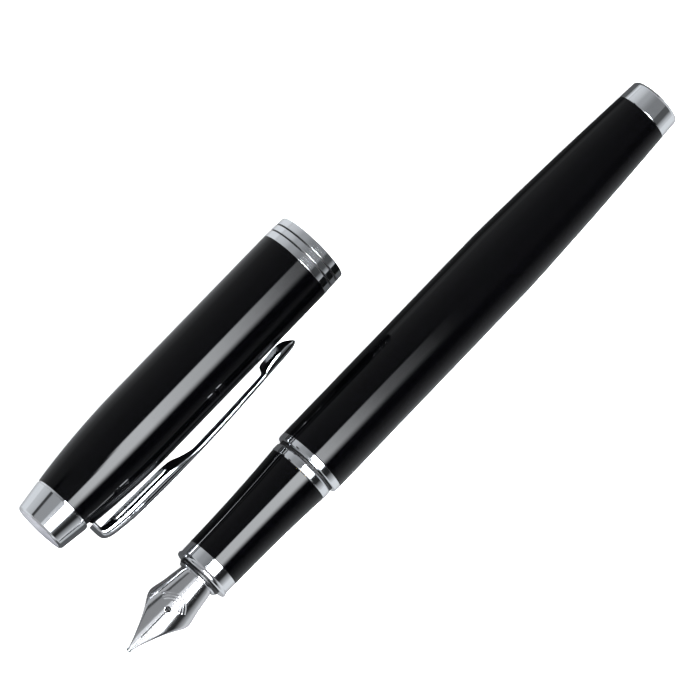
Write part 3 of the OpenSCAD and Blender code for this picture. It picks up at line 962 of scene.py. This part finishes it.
def build_cap(sizes, finish):
    """Mouth band with its two inlays, lacquered tube with the clip's slot, and liner."""
    x0, x1, r = span("cap_band")
    liner_r = span("cap_inner_sleeve")[2]
    mouth = span("section_rear_band")[2] + 0.1
    groove = sizes.cap_groove_width / MM
    outline = [(x0, mouth), (x0, r, 0.07)]
    grooves = [x0 + 1.25 * k for k in (1, 2)]
    for at in grooves:
        here = r - 0.14 * (at - x0) / (x1 - x0)
        outline += [(at, here, 0.07), (at, here - 0.14, 0.01), (at + groove, here - 0.14, 0.01),
                    (at + groove, here, 0.07)]
    outline += [(x1, r - 0.14, 0.22), (x1, mouth, 0.1)]
    band = turned("cap_mouth_band", outline, CAP_AXIS)
    placed(band, finish.chrome, "chrome", "cap", "cap_band")
    inlays = [
        turned(
            "groove_inlay",
            [(a, r - 0.2), (a, r - 0.12), (b, r - 0.12), (b, r - 0.2)],
            CAP_AXIS,
        )
        for a, b in ((at + 0.01, at + groove - 0.01) for at in grooves)
    ]
    inlay = joined("cap_groove_inlays", inlays)
    placed(inlay, finish.plastic, "black_plastic", "cap", "cap_band_inlays")

    x0, x1, r = span("cap_tube")
    crown_x = CAP_END_X + 24
    neck_r = r - 1.2
    wall = r - liner_r
    crown = sampled(x0, crown_x, 20, lambda t: r - (r - neck_r) * (1 - t) ** 2)
    inside = [(x, radius - wall, CURVE) for x, radius, _ in crown]
    slot_end = x0 + 1.0
    low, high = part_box("clip")
    front = with_station(crown, slot_end)
    front[0] = (x0, neck_r, 0.06)
    back = reversed(with_station(inside, slot_end))
    tube = turned(
        "lacquered_cap",
        [*front, (x1, r, 0.06), (x1, liner_r), *back],
        CAP_AXIS,
        slot=(slot_end, (high.z - low.z) / 2 / MM),
    )
    placed(tube, finish.lacquer, "black_lacquer", "cap", "cap_tube")

    x0, x1, r = span("cap_inner_sleeve")
    step_x = x1 - 20
    mouth = span("section_rear_band")[2] + FIT
    hole, outside, bore = 1.5, 4.85, 4.35
    liner = turned(
        "cap_liner",
        [(x0, hole), (x0, outside - 0.1, 0.2), (x0 + 1, outside), (step_x - 2.2, outside, 0.3),
         (step_x - 1.2, r, 0.2), (x1, r), (x1, mouth), (step_x, mouth, 0.3), (step_x, bore, 0.2),
         (x0 + 3, bore, 0.5), (x0 + 0.8, bore - 1, 0.2), (x0 + 0.8, hole)],
        CAP_AXIS,
    )
    placed(liner, finish.plastic, "black_plastic", "cap", "cap_inner_sleeve")


def with_station(points, x):
    """A run of outline points along +X with one more at x, straight between its neighbours."""
    after = next(i for i, p in enumerate(points) if p[0] >= x)
    (xa, ra, _), (xb, rb, _) = points[after - 1], points[after]
    return [*points[:after], (x, ra + (rb - ra) * (x - xa) / (xb - xa), CURVE), *points[after:]]


def joined(name, parts):
    """Makes one mesh object of several."""
    shape = bmesh.new()
    for part in parts:
        shape.from_mesh(part.data)
        bpy.data.objects.remove(part)
    piece = new_piece(name, [], [])
    shape.to_mesh(piece.data)
    shape.free()
    piece.data.shade_smooth()
    piece.data.set_sharp_from_angle(angle=math.radians(40))
    return piece


def build_finial(sizes, finish):
    """Cone, pearl disc, the stud that holds them and the clip's ring."""
    x0, x1, r = span("cap_finial")
    stud_x, stud_end, stud_r = span("cap_stud")
    bore = 1.5
    dish_x, dish_end, dish_r = span("cap_finial_disc")
    cone = turned(
        "finial_cone",
        [(dish_end, bore), (dish_end, dish_r, 0.01), (x0, dish_r, 0.04), (x0, dish_r + 0.26, 0.1),
         (x0 + 0.3, dish_r + 0.52, 0.25), (x1 - 0.37, r - 0.02, 0.14), (x1 - 0.35, r - 0.12, 0.05),
         (x1, r - 0.12, 0.04), (x1, bore)],
        CAP_AXIS,
    )
    placed(cone, finish.chrome, "chrome", "cap", "cap_finial")
    dome = sampled(dish_x + 0.34, dish_x, 10, lambda t: dish_r * math.sqrt(max(1 - t, 0)))
    disc = turned("finial_disc", [(dish_end, 0), (dish_end, dish_r), *dome[:-1], (dish_x, 0)], CAP_AXIS)
    placed(disc, finish.pearl, "pearl_disc", "cap", "cap_finial_disc")
    head_x = stud_end - 0.8
    stud = turned(
        "finial_stud",
        [(stud_x, 0), (stud_x, bore), (head_x, bore), (head_x, stud_r, 0.05), (stud_end, stud_r, 0.4),
         (stud_end, 0)],
        CAP_AXIS,
    )
    placed(stud, finish.bright, "bright_steel", "cap", "cap_stud")
    x0, x1, r = span("clip_ring")
    ring = turned("clip_carrier", [(x0, bore), (x0, r), (x1, r), (x1, bore)], CAP_AXIS)
    placed(ring, finish.bright, "bright_steel", "cap", "clip_ring")


# The clip
#
# Its side view is a run of stations. Each gives a point on the outer edge and the point opposite
# on the inner edge, as (distance from the end disc, distance from the cap's axis), then the half
# width there and the width of the crowned outer face as seen from the side.

CLIP_STATIONS = [
    ((5.75, 5.4), (6.85, 5.4), 1.95, 0.95),
    ((5.75, 6.6), (6.85, 6.1), 2.0, 0.95),
    ((5.78, 7.3), (6.86, 6.45), 2.05, 0.95),
    ((5.95, 7.95), (6.92, 6.6), 2.1, 1.0),
    ((6.4, 8.42), (7.1, 6.63), 2.1, 1.05),
    ((7.15, 8.74), (7.5, 6.64), 2.1, 1.1),
    ((8.3, 8.98), (8.4, 6.63), 2.1, 1.15),
    ((10.2, 9.22), (10.2, 6.66), 2.1, 1.2),
    ((12.5, 9.42), (12.5, 6.72), 2.08, 1.28),
    ((16, 9.53), (16, 6.8), 2.04, 1.34),
    ((19.6, 9.59), (19.6, 6.9), 1.98, 1.3),
    ((21.6, 9.61), (21.6, 7.1), 1.86, 1.1),
    ((23.6, 9.61), (23.6, 7.85), 1.62, 0.8),
    ((25.6, 9.6), (25.6, 8.33), 1.44, 0.55),
    ((28, 9.58), (28, 8.33), 1.38, 0.48),
    ((33, 9.46), (33, 8.25), 1.34, 0.46),
    ((37, 9.28), (37, 8.15), 1.32, 0.46),
    ((40.6, 9.11), (40.6, 8.05), 1.3, 0.44),
    ((41.5, 9.06), (41.45, 7.95), 1.36, 0.44),
    ((41.95, 9.04), (41.8, 7.35), 1.5, 0.55),
    ((42.5, 9.02), (42.3, 6.9), 1.65, 0.8),
    ((44, 8.95), (44.2, 6.74), 1.75, 1.05),
    ((45.6, 8.88), (46, 6.58), 1.75, 1.1),
    ((46.8, 8.81), (47.2, 6.86), 1.6, 1.05),
    ((47.8, 8.71), (48, 7.33), 1.25, 0.8),
    ((48.45, 8.52), (48.6, 7.85), 0.8, 0.5),
    ((48.85, 8.25), (48.88, 8.17), 0.2, 0.05),
]
FLANK_LEAN = math.radians(45)  # how far the clip's flanks draw in towards the cap
POCKET = (8.9, 20.7)  # from where to where the flanks are pressed in
POCKET_DEPTH_SHARE = 0.52  # how far down the flank the pressing goes
CLIP_STEP = 0.16  # distance between its cross-sections


def step_up(value, low, high):
    """Smooth step from 0 at low to 1 at high."""
    t = min(max((value - low) / (high - low), 0), 1)
    return t * t * (3 - 2 * t)


def clip_section(outer, inner, half, crown, sizes):
    """Upper half of the clip's cross-section: (distance from the end disc, from the axis, height)."""
    deep = math.dist(outer, inner)
    crown = min(crown, 0.75 * deep)
    crowned, flank = 14, 20
    spots = [crown * (1 - math.cos(math.pi / 2 * k / crowned)) for k in range(crowned)]
    spots += [crown + (deep - crown) * k / flank for k in range(flank + 1)]
    line = crown + POCKET_DEPTH_SHARE * (deep - crown)
    start, end = POCKET
    along_clip = step_up(outer[0], start, start + 0.6) * (1 - step_up(outer[0], end - 1.2, end))
    section = []
    for e in spots:
        if e < crown:
            height = half * math.sqrt(1 - (1 - e / crown) ** 2)
        else:
            height = half - math.tan(FLANK_LEAN) * (e - crown)
            down_flank = step_up(e, crown + 0.1, crown + 0.22) * (1 - step_up(e, line - 0.1, line))
            height -= along_clip * down_flank * sizes.clip_pocket_depth / MM
        distance, from_axis = (a + (b - a) * e / deep for a, b in zip(outer, inner))
        section.append((distance, from_axis, max(height, 0.15 * half)))
    section[0] = (*outer, 0.0)
    return section


def build_clip(sizes, finish):
    """The sprung clip: its cross-sections, each mirrored about the clip's middle, joined in a row."""
    count = len(CLIP_STATIONS)
    flat = [(*o, *i, w, c) for o, i, w, c in CLIP_STATIONS]
    stations = []
    for k in range(count - 1):
        steps = max(3, min(24, math.ceil(math.dist(flat[k][:2], flat[k + 1][:2]) / CLIP_STEP)))
        stations += [k + m / steps for m in range(steps)]
    stations.append(count - 1)
    curves = [[(k, row[c]) for k, row in enumerate(flat)] for c in range(6)]
    verts, faces = [], []
    for t in stations:
        o0, o1, i0, i1, w, c = (along(curve, t) for curve in curves)
        section = clip_section((o0, o1), (i0, i1), w, c, sizes)
        for side in (1, -1):
            verts += [(CAP_END_X + d, CAP_AXIS[0] - r, CAP_AXIS[1] + side * z) for d, r, z in section]
    lengths = len(section)
    row = 2 * lengths
    for i in range(len(stations) - 1):
        a, b = i * row, (i + 1) * row
        for j in range(lengths - 1):
            faces.append([a + j, b + j, b + j + 1, a + j + 1])
            faces.append([a + lengths + j + 1, b + lengths + j + 1, b + lengths + j, a + lengths + j])
        faces.append([a + lengths - 1, b + lengths - 1, b + row - 1, a + row - 1])
    for start in (0, (len(stations) - 1) * row):
        upper = [start + j for j in range(lengths)]
        lower = [start + lengths + j for j in range(lengths - 1, 0, -1)]
        faces.append(upper + lower)
    clip = new_piece("sprung_clip", verts, faces)
    merge_and_face_out(clip)
    clip.data.shade_smooth()
    clip.data.set_sharp_from_angle(angle=math.radians(30))
    placed(clip, finish.chrome, "chrome", "clip", "clip")


# The stage

GLOW_COLOUR = (0.94, 0.97, 1, 1)
TENT_RADIUS = 0.5
TENT_HALF = 0.6  # half its length along X
STRIP_RADIANCE = 35.0
FILL_RADIANCE = 0.75
ROOF = [  # swing and radiance of the tent's plain roof
    (-90, 0.66), (-72, 0.58), (-58, 0.5), (-45, 0.36), (-30, 0.34), (-12, 0.24), (-2, 0.2), (41, 0.2),
    (44, 0.02), (66, 0.02), (77, 0.3), (90, 0.55),
]


def glow_sheet(name, rows):
    """A sheet of light that the camera doesn't see, from rows of (point in metres, radiance)."""
    wide = len(rows[0])
    spots = [spot for row in rows for spot in row]
    faces = [
        [k, k + 1, k + 1 + wide, k + wide]
        for i in range(len(rows) - 1)
        for k in range(i * wide, (i + 1) * wide - 1)
    ]
    sheet = new_piece(name, [Vector(point) / MM for point, _ in spots], faces)
    levels = sheet.data.attributes.new("glow", "FLOAT", "POINT").data
    levels.foreach_set("value", [level for _, level in spots])
    material = bpy.data.materials.new(name)
    material.use_nodes = True
    tree = material.node_tree
    tree.nodes.clear()
    level = add_node(tree, "ShaderNodeAttribute", attribute_name="glow")
    glow = {"Color": GLOW_COLOUR, "Strength": level.outputs["Fac"]}
    light = add_node(tree, "ShaderNodeEmission", glow)
    add_node(tree, "ShaderNodeOutputMaterial", {"Surface": light.outputs[0]})
    sheet.data.materials.append(material)
    sheet.visible_camera = False
    return sheet


def tent_glow(x, swing):
    """Radiance of the light tent: a grey roof, a strip light on one side and a dark gap below it.

    swing is the angle from the zenith towards -Y, in degrees. The strip fades out towards the
    pen's tail. Beyond the nib it gives way to a softer fill light, beside a narrow black flag.
    """
    after = next(i for i, (angle, _) in enumerate(ROOF) if i and angle >= swing)
    (angle0, level0), (angle1, level1) = ROOF[after - 1 : after + 1]
    roof = level0 + (level1 - level0) * (swing - angle0) / (angle1 - angle0)
    tail_end = step_up(x, 0.1, 0.13)
    roof = max(roof * (1 + 0.2 * tail_end), 0.1 * tail_end)
    front = 1 - step_up(x, -0.09, -0.07)
    flag = step_up(swing, -64, -60) * (1 - step_up(swing, -54, -47))
    roof += front * (0.36 - roof) * step_up(swing, -52, -45) * (1 - step_up(swing, 38, 44))
    roof *= 1 - 0.9 * flag * front
    edge = 6 - 8 * step_up(x, -0.08, -0.02)
    strip = step_up(swing, edge - 2, edge + 2) * (1 - step_up(swing, 24, 43))
    strip *= step_up(x, -0.145, -0.12) * (1 - step_up(x, 0.03, 0.092))
    fill = (1 - step_up(x, -0.15, -0.12)) * step_up(swing, -13, -9) * (1 - step_up(swing, 40, 60))
    return roof + STRIP_RADIANCE * strip + FILL_RADIANCE * fill


def ground_glow_with_painted_shadow(y):
    """Radiance of the ground as the pieces mirror it, with their shadow painted in: dark between them,
    greyer close to them, and greyer again far away.
    """
    away = max(y - CAP_AXIS[0] * MM, PEN_AXIS[0] * MM - y)
    # Painted shadow: the ground between the two pieces' axes is dark in their reflections, and it lightens
    # from 7 to 15 mm beyond them.
    if away <= 0:
        return 0.12
    return 0.5 + 0.36 * step_up(away, 0.007, 0.015) - 0.2 * step_up(away, 0.04, 0.1)


def build_stage(sizes, finish):
    """Pale floor, light tent and camera."""
    scene = bpy.context.scene
    scene.view_settings.view_transform = "Standard"
    world = bpy.data.worlds.new("studio")
    scene.world = world
    world.use_nodes = True
    world.node_tree.nodes["Background"].inputs["Color"].default_value = (0.45, 0.45, 0.46, 1)

    half = 3000
    corners = [(-half, -half, 0), (half, -half, 0), (half, half, 0), (-half, half, 0)]
    floor = new_piece("floor", corners, [[0, 1, 2, 3]])
    paper, _, shader = new_finish("white_paper", base_color=linear("#F2F2F2"), roughness=0.9)
    shader.inputs["Emission Color"].default_value = (1, 1, 1, 1)
    shader.inputs["Emission Strength"].default_value = 0.85
    floor.data.materials.append(paper)
    floor.visible_glossy = False
    floor.visible_diffuse = False

    arch = []
    for swing in range(-90, 91):
        a = math.radians(swing)
        arch.append((swing, -TENT_RADIUS * math.sin(a), TENT_RADIUS * math.cos(a)))
    xs = [-TENT_HALF + 2 * TENT_HALF * i / 48 for i in range(49)]
    glow_sheet("light_tent", [[((x, y, z), tent_glow(x, swing)) for swing, y, z in arch] for x in xs])

    card = [[((-TENT_HALF, y, z), 1.5) for y in (-0.5, 0.5)] for z in (0.0, 0.5)]
    glow_sheet("end_card", card).visible_glossy = False
    ys = [-3, -1, -0.3, *(k / 1000 for k in range(-120, 121, 2)), 0.3, 1, 3]
    # A glowing sheet that the pieces mirror in place of the floor, with the pieces' shadow painted into
    # it.
    glow_sheet("mirrored_ground", [[((x, y, -0.0002), ground_glow_with_painted_shadow(y)) for y in ys] for x in (3, -3)])

    camera = bpy.data.objects.new("camera", bpy.data.cameras.new("camera"))
    camera.location = (-0.157, -0.005, 1.0023)
    camera.rotation_euler = [math.radians(a) for a in (6.422, -6.079, -46.424)]
    camera.data.lens = 334.9
    camera.data.clip_end = 20
    scene.collection.objects.link(camera)
    scene.camera = camera


# Add-on


def length_choice(name, description, default, low, high):
    """A length that a user may change, with its default and limits in millimetres."""
    return bpy.props.FloatProperty(
        name=name, description=description, default=default * MM, min=low * MM, max=high * MM,
        unit="LENGTH", precision=5,
    )


class PenSizes(bpy.types.PropertyGroup):
    """Sizes of the details that a user may change."""

    grip_front_diameter: length_choice(
        "Grip diameter", "Diameter of the grip just behind its front band", 9.58, 9.2, 9.8
    )
    thread_pitch: length_choice(
        "Thread pitch", "Advance of the barrel thread in one turn", 0.8, 0.5, 1.2
    )
    thread_length: length_choice(
        "Thread length", "Length of thread on the collar and in the bush", 4, 3, 6
    )
    nib_thickness: length_choice("Nib thickness", "Thickness of the nib's sheet", 0.36, 0.25, 0.45)
    engraving_width: length_choice(
        "Engraving width", "Width of the engraved arcs on the nib", 0.16, 0.08, 0.3
    )
    engraving_depth: length_choice(
        "Engraving depth", "Depth of the engraved arcs on the nib", 0.06, 0, 0.1
    )
    feed_fins: bpy.props.IntProperty(
        name="Feed fins", description="Number of fins on the feed's comb", default=9, min=4, max=14
    )
    feed_comb_depth: length_choice(
        "Comb depth", "How far the feed's fins stand out of its body", 0.5, 0.2, 0.8
    )
    knob_rib: length_choice(
        "Knob rib", "Width of one milled rib on the converter's knob", 0.4, 0.25, 0.8
    )
    piston_lead: length_choice(
        "Piston lead", "Advance of the converter's piston in one turn of its knob", 3, 2, 4
    )
    cap_groove_width: length_choice(
        "Cap groove", "Width of the two dark grooves round the cap's mouth band", 0.26, 0.15, 0.35
    )
    clip_pocket_depth: length_choice(
        "Clip pocket", "How deep the clip's flanks are pressed in", 0.2, 0, 0.35
    )


def colour_choice(name, description, code):
    """A finish's colour that a user may change, with its default as an sRGB hex code."""
    return bpy.props.FloatVectorProperty(
        name=name, description=description, subtype="COLOR", size=4, min=0, max=1, default=linear(code)
    )


class PenColours(bpy.types.PropertyGroup):
    """Colours of the finishes."""

    lacquer: colour_choice("Lacquer", "Black lacquer of barrel, grip and cap", "#020203")
    chrome: colour_choice("Chrome", "Bright chrome plate of rings, finial and clip", "#E4E6E9")
    satin: colour_choice("Satin chrome", "Satin chrome of the tail's end face", "#D2D4D8")
    steel: colour_choice("Nib steel", "Stainless steel of the nib", "#D6D6D8")
    alloy: colour_choice("Point alloy", "Hard alloy of the nib's point", "#A2A3A8")
    brass: colour_choice("Brass", "Turned brass of the threaded parts", "#C9A45A")
    plastic: colour_choice("Plastic", "Black moulded plastic", "#0E0E10")
    clear: colour_choice("Clear plastic", "Clear moulded tube of the converter", "#DCE6EC")
    rubber: colour_choice("Rubber", "Rubber of washer and piston seal", "#0B0B0C")
    bright: colour_choice("Bright steel", "Zinc flashed steel of rod, stud and ring", "#B4B7BC")
    pearl: colour_choice("Pearl", "Pearl enamel of the finial's disc", "#E4E3EC")


FINISHES = {
    "lacquer": black_lacquer,
    "chrome": chrome_plate,
    "satin": satin_chrome,
    "steel": nib_steel,
    "alloy": point_alloy,
    "brass": turned_brass,
    "plastic": black_plastic,
    "clear": clear_plastic,
    "rubber": seal_rubber,
    "bright": bright_steel,
    "pearl": pearl_enamel,
}


class Finishes:
    """Makes each material when it is first asked for, and then keeps it."""

    def __getattr__(self, name):
        colours = bpy.context.scene.pen_colours
        material = FINISHES[name](tuple(getattr(colours, name)))
        setattr(self, name, material)
        return material


finishes = Finishes()


class PieceOperator:
    """What every operator here does: runs its build function with the sizes and the finishes."""

    bl_options = {"REGISTER", "UNDO"}

    def execute(self, context):
        self.build(context.scene.pen_sizes, finishes)
        return {"FINISHED"}


class PEN_OT_barrel(PieceOperator, bpy.types.Operator):
    """Build the barrel with its rings, bush and tail"""

    bl_idname = "pen.barrel"
    bl_label = "Barrel"
    build = staticmethod(build_barrel)


class PEN_OT_grip(PieceOperator, bpy.types.Operator):
    """Build the grip with its bands, core, thread and collars"""

    bl_idname = "pen.grip"
    bl_label = "Grip"
    build = staticmethod(build_grip)


class PEN_OT_nib(PieceOperator, bpy.types.Operator):
    """Build the nib and its point"""

    bl_idname = "pen.nib"
    bl_label = "Nib"
    build = staticmethod(build_nib)


class PEN_OT_feed(PieceOperator, bpy.types.Operator):
    """Build the feed and its comb"""

    bl_idname = "pen.feed"
    bl_label = "Feed"
    build = staticmethod(build_feed)


class PEN_OT_converter(PieceOperator, bpy.types.Operator):
    """Build the converter with its knob and piston"""

    bl_idname = "pen.converter"
    bl_label = "Converter"
    build = staticmethod(build_converter)


class PEN_OT_cap(PieceOperator, bpy.types.Operator):
    """Build the cap's tube, liner and mouth band"""

    bl_idname = "pen.cap"
    bl_label = "Cap"
    build = staticmethod(build_cap)


class PEN_OT_finial(PieceOperator, bpy.types.Operator):
    """Build the finial, its disc, and the stud and ring behind them"""

    bl_idname = "pen.finial"
    bl_label = "Finial"
    build = staticmethod(build_finial)


class PEN_OT_clip(PieceOperator, bpy.types.Operator):
    """Build the sprung clip"""

    bl_idname = "pen.clip"
    bl_label = "Clip"
    build = staticmethod(build_clip)


class PEN_OT_stage(PieceOperator, bpy.types.Operator):
    """Build the floor, the light tent and the camera"""

    bl_idname = "pen.stage"
    bl_label = "Stage"
    build = staticmethod(build_stage)


OPERATORS = (
    PEN_OT_stage, PEN_OT_barrel, PEN_OT_grip, PEN_OT_nib, PEN_OT_feed, PEN_OT_converter, PEN_OT_cap,
    PEN_OT_finial, PEN_OT_clip,
)


class PEN_PT_pieces(bpy.types.Panel):
    """Lists the pieces, their sizes and their colours"""

    bl_label = "Fountain Pen"
    bl_idname = "PEN_PT_pieces"
    bl_space_type = "VIEW_3D"
    bl_region_type = "UI"
    bl_category = "Fountain Pen"

    def draw(self, context):
        for operator in OPERATORS:
            self.layout.operator(operator.bl_idname)
        for group in (context.scene.pen_sizes, context.scene.pen_colours):
            box = self.layout.box()
            for key in group.bl_rna.properties.keys():
                if key not in ("rna_type", "name"):
                    box.prop(group, key)


CLASSES = (PenSizes, PenColours, *OPERATORS, PEN_PT_pieces)


def register():
    """Makes the add-on's classes and settings known to Blender."""
    for cls in CLASSES:
        bpy.utils.register_class(cls)
    bpy.types.Scene.pen_sizes = bpy.props.PointerProperty(type=PenSizes)
    bpy.types.Scene.pen_colours = bpy.props.PointerProperty(type=PenColours)


def unregister():
    """Takes them away again."""
    del bpy.types.Scene.pen_colours
    del bpy.types.Scene.pen_sizes
    for cls in reversed(CLASSES):
        bpy.utils.unregister_class(cls)


def main():
    register()
    for operator in OPERATORS:
        getattr(bpy.ops.pen, operator.bl_idname.split(".")[1])()


if __name__ == "__main__":
    main()
